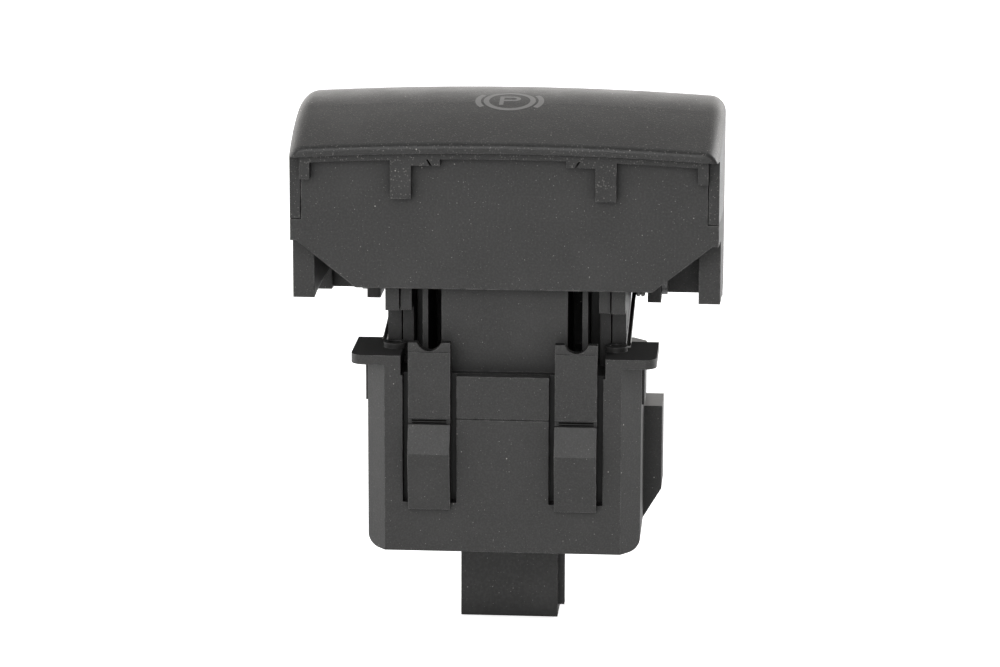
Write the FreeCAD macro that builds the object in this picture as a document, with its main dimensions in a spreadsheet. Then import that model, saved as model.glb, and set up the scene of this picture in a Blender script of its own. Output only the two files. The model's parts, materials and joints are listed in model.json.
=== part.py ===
import FreeCAD, Part
import math
import os
import Sketcher

# Electric parking brake switch for a centre console.
# X runs to the right, Y to the back and Z up. The origin is the middle of the console opening,
# in the plane that the ears rest on, so everything under Z = 0 goes down into the console.

doc = FreeCAD.newDocument("parking_brake_switch")
sheet = doc.addObject("Spreadsheet::Sheet", "dims")

# Driving sizes in millimetres. A name that ends in back is a distance behind the housing's front face.
DRIVING = [
    ("housing_width", 39.8), ("housing_depth", 27.4), ("housing_height", 27.7), ("housing_wall", 1.8),
    ("housing_floor", 1.8), ("rim_drop", 1.5), ("facet_width", 2.75), ("facet_depth", 3.4),
    ("rear_bevel", 2.0), ("sole_round", 1.6),
    ("ear_reach", 2.2), ("ear_inset", 5.1), ("ear_thick", 1.4), ("ear_depth", 11.9), ("ear_round", 2.0),
    ("boss_radius", 1.65), ("boss_bore", 0.95), ("boss_rise", 0.8), ("boss_inset", 3.8), ("boss_back", 5.8),
    ("arm_inset", 12.35), ("arm_width", 6.1), ("arm_proud", 0.6), ("arm_thick", 1.6), ("arm_top", 3.5),
    ("arm_root", 21.2), ("slot_width", 0.87), ("slot_end", 20.4), ("notch_width", 3.46), ("notch_radius", 1.82),
    ("catch_top", 8.55), ("catch_peak", 12.65), ("catch_reach", 1.6), ("catch_foot", 0.3),
    ("slit_height", 0.85), ("slit_depth", 0.5), ("line_depth", 0.15), ("line_width", 0.2), ("panel_line", 7.95),
    ("arm_ledge", 2.1),
    ("guide_reach", 2.7), ("guide_back", 15.4), ("guide_depth", 8.0), ("guide_top", 9.1), ("guide_knee", 21.7),
    ("guide_tail", 26.2), ("rib_reach", 0.4), ("rib_length", 6.3), ("rib_back", 4.7), ("rib_depth", 4.0),
    ("ledge_width", 6.0), ("ledge_depth", 1.6),
    ("header_width", 14.5), ("header_depth", 10.0), ("header_back", 15.4), ("header_length", 14.3),
    ("header_wall", 1.2), ("socket_depth", 10.5), ("flange_margin", 1.6), ("flange_thick", 1.5),
    ("key_reach", 0.95), ("key_width", 1.6), ("key_length", 11.5), ("short_key_reach", 1.3),
    ("short_key_length", 5.5), ("latch_rise", 0.8), ("latch_width", 5.0), ("latch_height", 2.4), ("latch_drop", 8.0),
    ("pin_size", 0.64), ("pin_pitch", 2.2), ("row_gap", 3.6), ("pin_stand", 4.6), ("pin_tail", 1.2),
    ("pin_hole", 0.55),
    ("board_thick", 1.6), ("board_gap", 0.9), ("fit_gap", 0.15),
    ("carrier_wall", 1.4), ("deck_thick", 1.6), ("carrier_gap", 0.3),
    ("column_inset", 10.77), ("column_back", 3.4), ("column_depth", 16.6), ("column_top", 25.5),
    ("column_knee", 12.0), ("column_lean", 2.4),
    ("fin_back", 4.8), ("fin_depth", 14.2), ("fin_top", 22.0), ("fin_inner_thick", 0.8), ("fin_outer_thick", 1.6),
    ("post_inset", 4.5), ("post_width", 2.0), ("post_back", 4.4), ("post_foot_back", 8.3), ("post_step", 7.1),
    ("post_top", 19.0), ("post_depth", 8.0),
    ("pivot_back", 25.9), ("pivot_height", 8.0), ("pivot_radius", 1.5), ("running_gap", 0.05), ("lug_radius", 3.6),
    ("head_radius", 2.4), ("head_thick", 0.8), ("head_gap", 0.1),
    ("lever_arm_gap", 0.1), ("lever_arm_thick", 2.0), ("lever_arm_front", 22.9), ("lever_arm_end", 3.3),
    ("spring_wire", 0.62), ("spring_radius", 2.5), ("spring_pitch", 0.68),
    ("spring_leg", 19.0), ("spring_slope", 10.8), ("spring_tail", 2.5), ("spring_gap", 0.15),
    ("slider_inset", 7.1), ("slider_thick", 1.4), ("slider_gap", 0.1), ("slider_back", 12.4),
    ("slider_depth", 2.5), ("slider_foot", 16.0), ("foot_depth", 5.4), ("foot_width", 2.8),
    ("foot_thick", 1.5), ("jaw_depth", 3.1), ("jaw_gap", 0.12), ("jaw_thick", 1.5),
    ("nose_radius", 1.0), ("nose_height", 12.0), ("nose_back", 16.4), ("finger_thick", 1.2),
    ("drive_rib_back", 18.8), ("drive_rib_depth", 2.2),
    ("magnet_height", 2.6), ("magnet_inset", 0.3), ("sensor_height", 1.1), ("sensor_size", 3.0),
    ("lamp_size", 3.4), ("lamp_height", 1.7), ("lamp_gap", 0.4), ("chip_size", 6.0), ("chip_height", 1.2),
    ("chip_back", 7.6), ("small_part_width", 3.2), ("small_part_depth", 1.6), ("small_part_height", 1.3),
    ("small_part_step", 2.6),
    ("pipe_radius", 2.5), ("pipe_top", 29.6), ("pipe_clearance", 0.1), ("collar_gap", 2.8), ("collar_thick", 1.2),
    ("stop_radius", 1.3), ("stop_height", 1.2), ("stop_back", 11.2), ("stop_inset", 1.43), ("stop_travel", 1.2),
    ("stop_rib_thick", 1.4), ("stop_rib_depth", 2.6),
    ("hood_width", 61.2), ("side_radius", 302.0), ("side_span", 39.6), ("hood_rear", 32.4), ("hood_wall", 1.5),
    ("hood_round", 2.4), ("rear_corner", 4.0), ("lip_front", 1.6), ("lip_edge", 31.4), ("shoulder_height", 30.0),
    ("rear_radius", 6.5), ("knee_slope", 13.4), ("top_radius", 35.0), ("crest_slope", 11.8), ("front_radius", 116.0),
    ("crown_radius", 473.0), ("hood_seam", 21.2), ("skirt_back", 0.9), ("symbol_back", 12.1),
    ("lip_round", 0.9), ("groove_back", 23.4), ("groove_width", 0.8), ("groove_depth", 0.5), ("groove_top", 27.0),
    ("groove_end", 13.5),
    ("lever_gap", 0.12), ("lever_wall", 1.5), ("leg_back", 5.9), ("leg_end", 8.5), ("rear_end", 4.9),
    ("rear_thick", 2.0), ("seam_gap", 0.12), ("inner_step", 19.0), ("lever_corner", 3.0),
    ("plate_thick", 1.6), ("plate_half_width", 30.6), ("plate_end", 11.15), ("plate_shoulder", 17.95),
    ("plate_foot", 21.36), ("plate_notch", 29.9),
    ("band_front", 0.6), ("band_gap", 0.08), ("band_end", 30.4), ("band_half_width", 29.2), ("drop_width", 1.5),
    ("drop_end", 27.15), ("tab_inner", 13.15), ("tab_width", 3.0), ("tab_end", 24.5),
    ("hook_inner", 9.0), ("hook_split", 10.1), ("hook_gap", 0.3), ("hook_slant", 0.9), ("hook_end", 29.35),
    ("lens_margin", 1.0), ("lens_depth", 8.0), ("lens_low", 31.2), ("lens_gap", 0.1),
]


class Size:
    """A size worked out from the sheet: its value, and the formula that binds it."""

    def __init__(self, value, formula):
        self.value = value
        self.formula = formula

    def joined(self, sign, other, value):
        text = other.formula if isinstance(other, Size) else repr(float(other))
        return Size(value, "(" + self.formula + " " + sign + " " + text + ")")

    def __add__(self, other):
        return self.joined("+", other, self.value + plain(other))

    def __radd__(self, other):
        return self + other

    def __sub__(self, other):
        return self.joined("-", other, self.value - plain(other))

    def __rsub__(self, other):
        return -self + other

    def __mul__(self, other):
        return self.joined("*", other, self.value * plain(other))

    def __rmul__(self, other):
        return self * other

    def __truediv__(self, other):
        return self.joined("/", other, self.value / plain(other))

    def __neg__(self):
        return Size(-self.value, "(-1 * " + self.formula + ")")


def plain(value):
    """The number that a size or a number stands for."""
    return value.value if isinstance(value, Size) else float(value)


def sine(degrees):
    return Size(math.sin(math.radians(degrees.value)), "sin(" + degrees.formula + ")")


def cosine(degrees):
    return Size(math.cos(math.radians(degrees.value)), "cos(" + degrees.formula + ")")


def root(value):
    return Size(math.sqrt(value.value), "sqrt(" + value.formula + ")")


class Sizes:
    """Holds each driving size under its own name."""


size = Sizes()
for row, (alias, number) in enumerate(DRIVING, start=1):
    sheet.set("A%d" % row, alias)
    sheet.set("B%d" % row, repr(number))
    sheet.setAlias("B%d" % row, alias)
doc.recompute()
for alias, number in DRIVING:
    setattr(size, alias, Size(float(sheet.get(alias)), "dims." + alias))


def bind(thing, name, value):
    """Ties a property to the sheet."""
    thing.setExpression(name, value.formula if isinstance(value, Size) else repr(float(value)))


class Arc:
    """Stands between two points of an outline and rounds their edge. In an outline that runs with
    its inside on the left the edge swells outwards, or inwards where it is hollow."""

    def __init__(self, radius, hollow=False):
        self.radius = radius
        self.hollow = hollow


class Disc:
    def __init__(self, x, y, radius):
        self.x = x
        self.y = y
        self.radius = radius


def flat(x, y):
    return FreeCAD.Vector(plain(x), plain(y), 0)


def constrain(sketch, value, *what):
    """Adds a constraint whose value follows the sheet."""
    number = sketch.addConstraint(Sketcher.Constraint(*what, plain(value)))
    if isinstance(value, Size):
        sketch.setExpression("Constraints[%d]" % number, value.formula)


def fix_point(sketch, place, x, y):
    """Holds one point of a sketch at its distances from the origin."""
    constrain(sketch, x, "DistanceX", -1, 1, place[0], place[1])
    constrain(sketch, y, "DistanceY", -1, 1, place[0], place[1])


def draw_disc(sketch, disc):
    circle = Part.Circle(flat(disc.x, disc.y), FreeCAD.Vector(0, 0, 1), plain(disc.radius))
    number = sketch.addGeometry(circle, False)
    fix_point(sketch, (number, 3), disc.x, disc.y)
    constrain(sketch, disc.radius, "Radius", number)


def draw_edge(sketch, start, end, arc):
    """Adds one edge and returns its start and its end."""
    first = flat(*start)
    last = flat(*end)
    if arc is None:
        line = sketch.addGeometry(Part.LineSegment(first, last), False)
        return (line, 1), (line, 2)
    across = last - first
    outwards = FreeCAD.Vector(across.y, -across.x, 0).normalize() * (-1 if arc.hollow else 1)
    radius = plain(arc.radius)
    bulge = radius - math.sqrt(radius * radius - across.Length * across.Length / 4)
    middle = (first + last) * 0.5 + outwards * bulge
    if arc.hollow:
        curve = sketch.addGeometry(Part.Arc(last, middle, first), False)
    else:
        curve = sketch.addGeometry(Part.Arc(first, middle, last), False)
    constrain(sketch, arc.radius, "Radius", curve)
    return ((curve, 2), (curve, 1)) if arc.hollow else ((curve, 1), (curve, 2))


def draw_outline(sketch, outline):
    if isinstance(outline, Disc):
        draw_disc(sketch, outline)
        return
    points = []
    arcs = {}
    for item in outline:
        if isinstance(item, Arc):
            arcs[len(points) - 1] = item
        else:
            points.append(item)
    ends = []
    for number, start in enumerate(points):
        ends.append(draw_edge(sketch, start, points[(number + 1) % len(points)], arcs.get(number)))
    for number, (x, y) in enumerate(points):
        before = ends[number - 1][1]
        after = ends[number][0]
        sketch.addConstraint(Sketcher.Constraint("Coincident", before[0], before[1], after[0], after[1]))
        fix_point(sketch, after, x, y)


PLANE = {"top": "XY_Plane", "front": "XZ_Plane", "side": "YZ_Plane"}
ALONG = {"top": "z", "front": "y", "side": "x"}
NORMAL = {"top": (0, 0, 1), "front": (0, 1, 0), "side": (1, 0, 0)}
TURN = {
    "top": FreeCAD.Rotation(),
    "front": FreeCAD.Rotation(FreeCAD.Vector(1, 0, 0), 90),
    "side": FreeCAD.Rotation(FreeCAD.Vector(1, 1, 1), 120),
}
nodes = []
pockets = []


def named(label, thing):
    """Gives a finished sub-part its name and lists it."""
    thing.Label = label
    nodes.append(thing)
    return thing


def new_body(label):
    return named(label, doc.addObject("PartDesign::Body", label))


def body_sketch(body, plane, at, outlines):
    """A sketch seen from the top, front or side, at a distance along that view's axis."""
    sketch = body.newObject("Sketcher::SketchObject", body.Label + "_sketch")
    origin_plane = next(item for item in body.Origin.OriginFeatures if item.Role == PLANE[plane])
    sketch.AttachmentSupport = [(origin_plane, "")]
    sketch.MapMode = "FlatFace"
    bind(sketch, "AttachmentOffset.Base.z", at * (-1 if plane == "front" else 1))
    for outline in outlines:
        draw_outline(sketch, outline)
    return sketch


def pad(body, plane, at, length, *outlines):
    """Adds a prism that grows from a plane towards +X, +Y or +Z."""
    feature = body.newObject("PartDesign::Pad", body.Label + "_pad")
    feature.Profile = body_sketch(body, plane, at, outlines)
    feature.Reversed = plane == "front"
    bind(feature, "Length", length)


def pocket(body, plane, at, length, *outlines):
    """Cuts a prism that grows from a plane towards +X, +Y or +Z."""
    feature = body.newObject("PartDesign::Pocket", body.Label + "_pocket")
    feature.Profile = body_sketch(body, plane, at, outlines)
    feature.Reversed = plane != "front"
    bind(feature, "Length", length)
    pockets.append(feature)


def round_edges(body, radius, wanted):
    """Rounds the edges of the body's last feature that a rule picks."""
    doc.recompute()
    base = body.Tip
    names = ["Edge%d" % (number + 1) for number, edge in enumerate(base.Shape.Edges) if wanted(edge)]
    feature = body.newObject("PartDesign::Fillet", body.Label + "_fillet")
    feature.Base = (base, names)
    bind(feature, "Radius", radius)


def free_sketch(name, plane, at, outlines):
    """A sketch outside any body, for the pieces that are made with booleans."""
    sketch = doc.addObject("Sketcher::SketchObject", name + "_sketch")
    sketch.Placement = FreeCAD.Placement(FreeCAD.Vector(0, 0, 0), TURN[plane])
    bind(sketch, "Placement.Base." + ALONG[plane], at)
    for outline in outlines:
        draw_outline(sketch, outline)
    return sketch


def prism(name, plane, at, length, *outlines):
    """A loose prism that grows from a plane towards +X, +Y or +Z."""
    feature = doc.addObject("Part::Extrusion", name)
    feature.Base = free_sketch(name, plane, at, outlines)
    feature.DirMode = "Custom"
    feature.Dir = FreeCAD.Vector(*NORMAL[plane])
    feature.Solid = True
    bind(feature, "LengthFwd", length)
    return feature


def fused(name, *pieces):
    feature = doc.addObject("Part::MultiFuse", name)
    feature.Shapes = list(pieces)
    feature.Refine = True
    return feature


def common(name, *pieces):
    feature = doc.addObject("Part::MultiCommon", name)
    feature.Shapes = list(pieces)
    return feature


def cut(name, base, tool):
    feature = doc.addObject("Part::Cut", name)
    feature.Base = base
    feature.Tool = tool
    feature.Refine = True
    return feature


def group(name, *pieces):
    """Separate solids that share a node."""
    feature = doc.addObject("Part::Compound", name)
    feature.Links = list(pieces)
    return feature


def box(x0, x1, y0, y1):
    """A rectangle between two corners."""
    return [(x0, y0), (x1, y0), (x1, y1), (x0, y1)]


def square(x, y, width):
    return box(x - width / 2, x + width / 2, y - width / 2, y + width / 2)


def mirrored(side, outline):
    """An outline on the right of the middle, or its mirror image on the left."""
    if side > 0:
        return outline
    return [item if isinstance(item, Arc) else (-item[0], item[1]) for item in reversed(outline)]


def start_of(side, inner, width):
    """Where a slab starts that stands a distance from the middle, on the right or on the left."""
    return inner if side > 0 else -(inner + width)


SIDES = {"left": -1, "right": 1}
front = -size.housing_depth / 2
half_width = size.housing_width / 2
arm_inner = half_width - size.arm_inset
column_half = half_width - size.column_inset
stop_centre = column_half - size.stop_inset
collar_radius = stop_centre - size.stop_radius - size.collar_gap
lens_half = stop_centre - size.stop_rib_thick / 2 - size.lens_margin
slider_centre = half_width - size.slider_inset
post_inner = half_width - size.post_inset
lever_arm_inner = half_width + size.lever_arm_gap
far = size.housing_height * 4


def back(distance):
    """The Y of something that lies a distance behind the housing's front face."""
    return front + distance


floor_top = -size.housing_height + size.housing_floor
board_bottom = floor_top + size.flange_thick
board_top = board_bottom + size.board_thick
deck_top = -size.rim_drop
deck_bottom = deck_top - size.deck_thick
pivot_y = back(size.pivot_back)


def plan_outline(inset):
    """The housing from the top, moved inwards, with cut front corners and bevelled rear corners."""
    side = half_width - inset
    face = front + inset
    rear = -front - inset
    right = [(side - size.facet_width, face), (side, face + size.facet_depth),
             (side, rear - size.rear_bevel), (side - size.rear_bevel, rear)]
    return right + mirrored(-1, right)


# The lower housing is an open box. Its ears rest on the console, and two snap arms cut free in its
# front wall hold it there. A guide on its right side lets it go in only one way round.

def ear_outline():
    inner = half_width - size.ear_inset
    wall = half_width - size.housing_wall
    outer = half_width + size.ear_reach
    step = back(size.post_foot_back - size.carrier_gap)
    return [(inner, front), (outer - size.ear_round, front), Arc(size.ear_round),
            (outer, back(size.ear_round)), (outer, back(size.ear_depth)), (wall, back(size.ear_depth)),
            (wall, step), (inner, step)]


def arm_outline():
    """A snap arm from the front, with the half-round notch in its top."""
    outer = arm_inner + size.arm_width
    middle = arm_inner + size.arm_width / 2
    return [(arm_inner, -size.arm_root), (outer, -size.arm_root), (outer, size.arm_top),
            (middle + size.notch_width / 2, size.arm_top), Arc(size.notch_radius, hollow=True),
            (middle - size.notch_width / 2, size.arm_top), (arm_inner, size.arm_top)]


def catch_outline(face):
    """The wedge on a snap arm from the side: a short steep top and a long lead-in below."""
    return [(face + size.slit_depth, -size.arm_root), (face + size.slit_depth, -size.catch_top),
            (face - size.catch_foot / 2, -size.catch_top), (face - size.catch_reach, -size.catch_peak),
            (face - size.catch_foot, -size.arm_root)]


def make_housing():
    body = new_body("lower_housing")
    sole = -size.housing_height
    arm_face = front - size.arm_proud
    pad(body, "top", sole, size.housing_height, plan_outline(0))
    round_edges(body, size.sole_round, lambda edge: edge.BoundBox.ZMax < plain(sole) + 0.01
                and abs(edge.CenterOfMass.x) > plain(half_width) - 0.01)
    pocket(body, "top", floor_top, far, plan_outline(size.housing_wall))
    inner = half_width - size.ear_inset
    pocket(body, "top", deck_top, far, box(-inner, inner, front - 1, back(size.ear_depth)))
    pocket(body, "top", deck_top, far, box(-half_width - 1, half_width + 1, back(size.ear_depth), -front + 1))
    for side in SIDES.values():
        boss = Disc(side * (half_width - size.boss_inset), back(size.boss_back), size.boss_radius)
        bore = Disc(side * (half_width - size.boss_inset), back(size.boss_back), size.boss_bore)
        pad(body, "top", 0, size.ear_thick, mirrored(side, ear_outline()))
        pad(body, "top", size.ear_thick, size.boss_rise, boss)
        pocket(body, "top", 0, far, bore)
        rib = mirrored(side, box(half_width - size.rib_reach, half_width + size.rib_reach,
                                 back(size.rib_back), back(size.rib_back + size.rib_depth)))
        pad(body, "top", -size.rib_length, size.rib_length, rib)
        ledge = mirrored(side, box(arm_inner, arm_inner + size.ledge_width,
                                   back(size.housing_wall) - size.fit_gap,
                                   back(size.housing_wall + size.ledge_depth)))
        pad(body, "top", floor_top, size.flange_thick, ledge)
        free = mirrored(side, box(arm_inner - size.slot_width,
                                  arm_inner + size.arm_width + size.slot_width, -size.slot_end, 1))
        pocket(body, "front", front - 1, size.housing_wall + 1, free)
        pad(body, "front", arm_face, size.arm_thick, mirrored(side, arm_outline()))
        pad(body, "side", start_of(side, arm_inner, size.arm_width), size.arm_width, catch_outline(arm_face))
        slit = mirrored(side, box(arm_inner, arm_inner + size.arm_width,
                                  -size.catch_top, -size.catch_top + size.slit_height))
        pocket(body, "front", arm_face, size.slit_depth, slit)
        ledge_face = mirrored(side, box(arm_inner - 1, arm_inner + size.arm_width + 1,
                                        size.arm_ledge, size.arm_top + 1))
        pocket(body, "front", arm_face - 1, size.line_depth + 1, ledge_face)
    guide = [(half_width - size.guide_reach / 3, -size.guide_tail), (half_width, -size.guide_tail),
             (half_width + size.guide_reach, -size.guide_knee), (half_width + size.guide_reach, -size.guide_top),
             (half_width - size.guide_reach / 3, -size.guide_top)]
    pad(body, "front", back(size.guide_back), size.guide_depth, guide)
    panel_half = arm_inner - size.slot_width
    pocket(body, "front", front - 1, size.line_depth + 1,
           box(-panel_half, panel_half, -size.panel_line, -size.panel_line + size.line_width))
    window = box(-size.header_width / 2 - size.fit_gap, size.header_width / 2 + size.fit_gap,
                 back(size.header_back) - size.fit_gap, back(size.header_back + size.header_depth) + size.fit_gap)
    pocket(body, "top", sole, size.housing_floor, window)


# The connector header carries the terminal pins. Its flange lies on the housing's floor, and the
# socket hangs out below, with two coding ribs on its right and a latch nose at its back.

PINS_IN_ROW = 5


def pin_places():
    """The middle of each terminal pin from the top."""
    middle = back(size.header_back + size.header_depth / 2)
    return [(size.pin_pitch * (number - (PINS_IN_ROW - 1) / 2), middle + size.row_gap / 2 * row_side)
            for row_side in (-1, 1) for number in range(PINS_IN_ROW)]


def make_header():
    body = new_body("connector_header")
    bottom = -size.housing_height - size.header_length
    half = size.header_width / 2
    near = back(size.header_back)
    deep = near + size.header_depth
    pad(body, "top", bottom, floor_top - bottom, box(-half, half, near, deep))
    pad(body, "top", floor_top, size.flange_thick,
        box(-half - size.flange_margin, half + size.flange_margin, near - size.flange_margin, deep))
    pocket(body, "top", bottom, size.socket_depth,
           box(-half + size.header_wall, half - size.header_wall, near + size.header_wall, deep - size.header_wall))
    key_near = near + size.header_wall
    pad(body, "top", bottom + size.key_width, size.key_length,
        box(half - size.header_wall / 2, half + size.key_reach, key_near, key_near + size.key_width))
    key_far = deep - size.header_wall
    pad(body, "top", -size.housing_height - size.short_key_length, size.short_key_length,
        box(half - size.header_wall / 2, half + size.short_key_reach, key_far - size.key_width, key_far))
    latch_low = -size.housing_height - size.latch_drop
    nose = [(deep - size.header_wall / 2, latch_low), (deep, latch_low),
            (deep + size.latch_rise, latch_low + size.latch_height),
            (deep - size.header_wall / 2, latch_low + size.latch_height)]
    pad(body, "side", -size.latch_width / 2, size.latch_width, nose)
    pocket(body, "top", bottom, far, *[square(x, y, size.pin_size) for x, y in pin_places()])


def make_pins():
    bottom = -size.housing_height - size.header_length + size.pin_stand
    length = board_top + size.pin_tail - bottom
    pins = [prism("terminal_pin", "top", bottom, length, square(x, y, size.pin_size)) for x, y in pin_places()]
    named("terminal_pins", group("terminal_pins", *pins))


# The circuit board lies on the header's flange and the housing's ledges, and the carrier's skirt
# stands on it. It holds the lamp, the two sensors and the smaller parts.

def make_board():
    body = new_body("circuit_board")
    pad(body, "top", board_bottom, size.board_thick, plan_outline(size.housing_wall + size.board_gap))
    pocket(body, "top", board_bottom, far, *[Disc(x, y, size.pin_hole) for x, y in pin_places()])


def make_board_parts():
    lamp = square(0, back(size.symbol_back), size.lamp_size)
    named("backlight_led", prism("backlight_led", "top", board_top, size.lamp_height, lamp))
    sensor_y = back(size.slider_back + size.foot_depth / 2)
    sensors = [prism("hall_sensor", "top", board_top, size.sensor_height,
                     square(side * slider_centre, sensor_y, size.sensor_size)) for side in SIDES.values()]
    named("hall_sensors", group("hall_sensors", *sensors))
    part_x = slider_centre / 2
    chip = prism("control_chip", "top", board_top, size.chip_height,
                 square(-part_x, back(size.chip_back), size.chip_size))
    small = []
    for number in (-1, 0, 1):
        y = back(size.chip_back) + size.small_part_step * number
        small.append(prism("small_part", "top", board_top, size.small_part_height,
                           box(part_x - size.small_part_width / 2, part_x + size.small_part_width / 2,
                               y - size.small_part_depth / 2, y + size.small_part_depth / 2)))
    named("board_parts", group("board_parts", chip, *small))


# The switch carrier closes the housing. Its column holds the light pipe, its fins guide the two
# sliders, and its side posts run back to the lugs of the pivot.

def column_outline(inset):
    """The column from the side. Its front leans back to let the lever's front plate swing in."""
    near = back(size.column_back)
    return [(near + inset, deck_bottom), (near + size.column_depth - inset, deck_bottom),
            (near + size.column_depth - inset, size.column_top - inset),
            (near + size.column_lean + inset, size.column_top - inset), (near + inset, size.column_knee)]


def outer_fin_outline():
    """The outer guide of a slider from the side, cut back at its foot to clear the ear."""
    head = back(size.fin_back)
    foot = back(size.post_foot_back)
    rear = head + size.fin_depth
    return [(foot, deck_bottom), (rear, deck_bottom), (rear, size.fin_top), (head, size.fin_top),
            (head, size.post_step), (foot, size.post_step)]


def post_outline():
    """A side post and pivot lug from the side."""
    foot = back(size.post_foot_back)
    head = back(size.post_back)
    rear = -front - size.housing_wall - size.carrier_gap - size.rear_bevel
    return [(foot, deck_bottom), (rear, deck_bottom), (rear, deck_top), (pivot_y + size.lug_radius, size.pivot_height),
            (pivot_y - size.lug_radius, size.pivot_height),
            (head + size.post_depth, size.post_top), (head, size.post_top), (head, size.post_step),
            (foot, size.post_step)]


def make_carrier():
    body = new_body("switch_carrier")
    outer = size.housing_wall + size.carrier_gap
    pad(body, "top", board_top, deck_top - board_top, plan_outline(outer))
    pocket(body, "top", board_top, deck_bottom - board_top, plan_outline(outer + size.carrier_wall))
    pad(body, "side", -column_half, column_half * 2, column_outline(0))
    pocket(body, "side", -column_half + size.carrier_wall, (column_half - size.carrier_wall) * 2,
           column_outline(size.carrier_wall))
    pipe = Disc(0, back(size.symbol_back), size.pipe_radius + size.pipe_clearance)
    pocket(body, "top", size.column_knee, far, pipe)
    fin = box(back(size.fin_back), back(size.fin_back + size.fin_depth), deck_bottom, size.fin_top)
    half_slot = size.slider_thick / 2 + size.slider_gap
    slot = box(back(size.slider_back) - size.carrier_gap,
               back(size.slider_back + size.slider_depth + size.jaw_depth) + size.carrier_gap,
               deck_bottom - 1, deck_top + 1)
    for side in SIDES.values():
        inner_fin = start_of(side, slider_centre - half_slot - size.fin_inner_thick, size.fin_inner_thick)
        pad(body, "side", inner_fin, size.fin_inner_thick, fin)
        outer_fin = start_of(side, slider_centre + half_slot, size.fin_outer_thick)
        pad(body, "side", outer_fin, size.fin_outer_thick, outer_fin_outline())
        post = start_of(side, post_inner, size.post_width)
        pad(body, "side", post, size.post_width, post_outline())
        pad(body, "side", post, size.post_width, Disc(pivot_y, size.pivot_height, size.lug_radius))
        pocket(body, "side", start_of(side, slider_centre - half_slot, half_slot * 2), half_slot * 2, slot)
    web = box(-post_inner, post_inner, deck_top, size.pivot_height)
    pad(body, "front", pivot_y - size.lug_radius, size.carrier_wall, web)
    pocket(body, "side", -half_width, size.housing_width, Disc(pivot_y, size.pivot_height, size.pivot_radius))


def make_light_pipe():
    body = new_body("light_pipe")
    bottom = board_top + size.lamp_height + size.lamp_gap
    pad(body, "top", bottom, size.pipe_top - bottom, Disc(0, back(size.symbol_back), size.pipe_radius))
    pad(body, "top", size.column_top, size.collar_thick, Disc(0, back(size.symbol_back), collar_radius))


def make_stop_pads():
    pads = [prism("stop_pad", "top", size.column_top, size.stop_height,
                  Disc(side * stop_centre, back(size.stop_back), size.stop_radius)) for side in SIDES.values()]
    named("stop_pads", group("stop_pads", *pads))


# Each slider follows a finger of the lever and moves a magnet over its sensor on the board.

def make_slider(name, side):
    body = new_body("slider_" + name)
    near = back(size.slider_back)
    rear = near + size.slider_depth
    jaw = rear + size.jaw_depth
    gap_low = size.nose_height - size.nose_radius - size.jaw_gap
    gap_high = size.nose_height + size.nose_radius + size.jaw_gap
    profile = [(near, -size.slider_foot), (rear, -size.slider_foot), (rear, gap_low - size.jaw_thick),
               (jaw, gap_low - size.jaw_thick), (jaw, gap_low), (rear, gap_low), (rear, gap_high),
               (jaw, gap_high), (jaw, gap_high + size.jaw_thick), (near, gap_high + size.jaw_thick)]
    start = start_of(side, slider_centre - size.slider_thick / 2, size.slider_thick)
    pad(body, "side", start, size.slider_thick, profile)
    foot_start = start_of(side, slider_centre - size.foot_width / 2, size.foot_width)
    foot = box(near, near + size.foot_depth, -size.slider_foot, -size.slider_foot + size.foot_thick)
    pad(body, "side", foot_start, size.foot_width, foot)


def make_magnet(name, side):
    width = size.foot_width - size.magnet_inset * 2
    start = start_of(side, slider_centre - width / 2, width)
    near = back(size.slider_back)
    outline = box(near + size.magnet_inset, near + size.foot_depth - size.magnet_inset,
                  -size.slider_foot - size.magnet_height, -size.slider_foot)
    named("magnet_" + name, prism("magnet_" + name, "side", start, width, outline))


# The lever turns on two headed pins, pressed into the carrier's lugs. A spring round each pin
# brings it back to the middle.

def make_pivot_pin(name, side):
    body = new_body("pivot_pin_" + name)
    arm_outer = lever_arm_inner + size.lever_arm_thick + size.head_gap
    length = arm_outer - post_inner
    shank = Disc(pivot_y, size.pivot_height, size.pivot_radius)
    pad(body, "side", start_of(side, post_inner, length), length, shank)
    head = Disc(pivot_y, size.pivot_height, size.head_radius)
    pad(body, "side", start_of(side, arm_outer, size.head_thick), size.head_thick, head)


SPRING_TURNS = 2


def spring_leg(name, turn, length):
    """A straight end of the spring, where the coil leaves off."""
    leg = doc.addObject("Part::Cylinder", name)
    leg.Placement.Rotation = FreeCAD.Rotation(FreeCAD.Vector(1, 0, 0), turn)
    bind(leg, "Radius", size.spring_wire / 2)
    bind(leg, "Height", length)
    bind(leg, "Placement.Base.x", size.spring_radius)
    return leg


def half_turn(number):
    """Half a turn of the coil, tilted so that it climbs half the pitch and meets the next one."""
    climb = size.spring_pitch / 4
    reach = root(size.spring_radius * size.spring_radius + climb * climb)
    tilt = math.degrees(math.atan(plain(climb) / plain(size.spring_radius)))
    about = FreeCAD.Rotation(FreeCAD.Vector(0, 0, 1), 180 * (number % 2))
    piece = doc.addObject("Part::Torus", "spring_half_turn")
    piece.Angle3 = 180
    piece.Placement.Rotation = about.multiply(FreeCAD.Rotation(FreeCAD.Vector(0, 1, 0), tilt))
    bind(piece, "Radius1", reach)
    bind(piece, "Radius2", size.spring_wire / 2)
    bind(piece, "Placement.Base.z", climb * (2 * number + 1))
    return piece


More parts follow.
